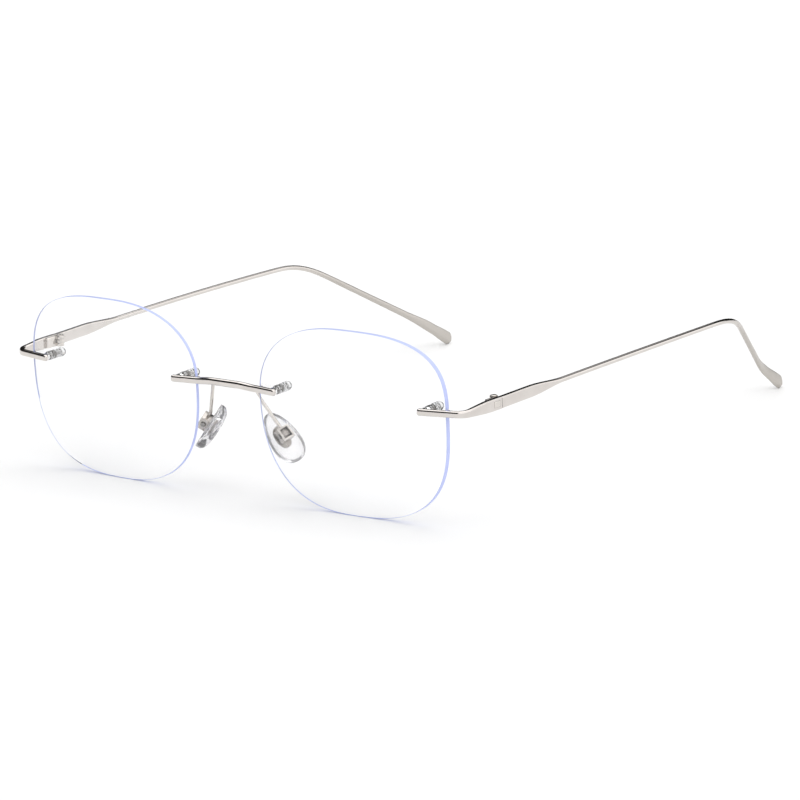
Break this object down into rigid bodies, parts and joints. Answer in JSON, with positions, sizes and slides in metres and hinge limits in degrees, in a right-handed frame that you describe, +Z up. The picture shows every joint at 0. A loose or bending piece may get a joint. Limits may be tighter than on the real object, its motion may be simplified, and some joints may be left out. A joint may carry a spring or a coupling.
{
  "type": "rimless eyeglasses",
  "caption": "Rimless eyeglasses with drilled clear lenses, a slim metal bridge, adjustable nose pads and folding wire temples.",
  "frame": {"origin": "middle of the open glasses' footprint, on the surface that they stand on", "axes": "+Z up, the front and its lenses face -Y, +X is the wearer's left, and the temples run back along +Y"},
  "size_m": [0.1324, 0.1575, 0.0427],
  "materials": {
    "warm_silver": "polished warm silver plating",
    "pin_steel": "dark satin",
    "clear_lens": "clear, polished, coated",
    "clear_plastic": "clear moulded",
    "silicone": "clear soft satin"
  },
  "bodies": {
    "front": {"bridge": "warm_silver", "lens_left": "clear_lens", "end_piece_left": "warm_silver", "hinge_front_leaf_left": "warm_silver", "hinge_screw_left": "warm_silver", "stud_bridge_left": "warm_silver", "peg_bridge_left": "warm_silver", "bushing_bridge_left": "clear_plastic", "nut_bridge_left": "pin_steel", "cap_bridge_left": "clear_plastic", "stud_temple_left": "warm_silver", "peg_temple_left": "warm_silver", "bushing_temple_left": "clear_plastic", "nut_temple_left": "pin_steel", "cap_temple_left": "clear_plastic", "pad_arm_left": "warm_silver", "pad_box_left": "warm_silver", "pad_screw_left": "warm_silver", "lens_right": "clear_lens", "end_piece_right": "warm_silver", "hinge_front_leaf_right": "warm_silver", "hinge_screw_right": "warm_silver", "stud_bridge_right": "warm_silver", "peg_bridge_right": "warm_silver", "bushing_bridge_right": "clear_plastic", "nut_bridge_right": "pin_steel", "cap_bridge_right": "clear_plastic", "stud_temple_right": "warm_silver", "peg_temple_right": "warm_silver", "bushing_temple_right": "clear_plastic", "nut_temple_right": "pin_steel", "cap_temple_right": "clear_plastic", "pad_arm_right": "warm_silver", "pad_box_right": "warm_silver", "pad_screw_right": "warm_silver"},
    "temple_left": {"temple_left": "warm_silver", "hinge_temple_leaf_left": "warm_silver"},
    "nose_pad_left": {"nose_pad_left": "silicone", "pad_insert_left": "warm_silver"},
    "temple_right": {"temple_right": "warm_silver", "hinge_temple_leaf_right": "warm_silver"},
    "nose_pad_right": {"nose_pad_right": "silicone", "pad_insert_right": "warm_silver"}
  },
  "joints": [
    {"name": "temple_left_fold", "type": "hinge", "parent": "front", "child": "temple_left", "pos_m": [0.06281, -0.06125, 0.0268], "axis": [0, 0, 1], "range_deg": [0, 90]},
    {"name": "temple_right_fold", "type": "hinge", "parent": "front", "child": "temple_right", "pos_m": [-0.06281, -0.06125, 0.0268], "axis": [0, 0, -1], "range_deg": [0, 84]},
    {"name": "nose_pad_left_rock", "type": "hinge", "parent": "front", "child": "nose_pad_left", "pos_m": [0.01176, -0.07068, 0.01527], "axis": [0.2889, 0.9073, 0.3055], "range_deg": [-12, 12]},
    {"name": "nose_pad_right_rock", "type": "hinge", "parent": "front", "child": "nose_pad_right", "pos_m": [-0.01176, -0.07068, 0.01527], "axis": [0.2889, -0.9073, -0.3055], "range_deg": [-12, 12]}
  ]
}
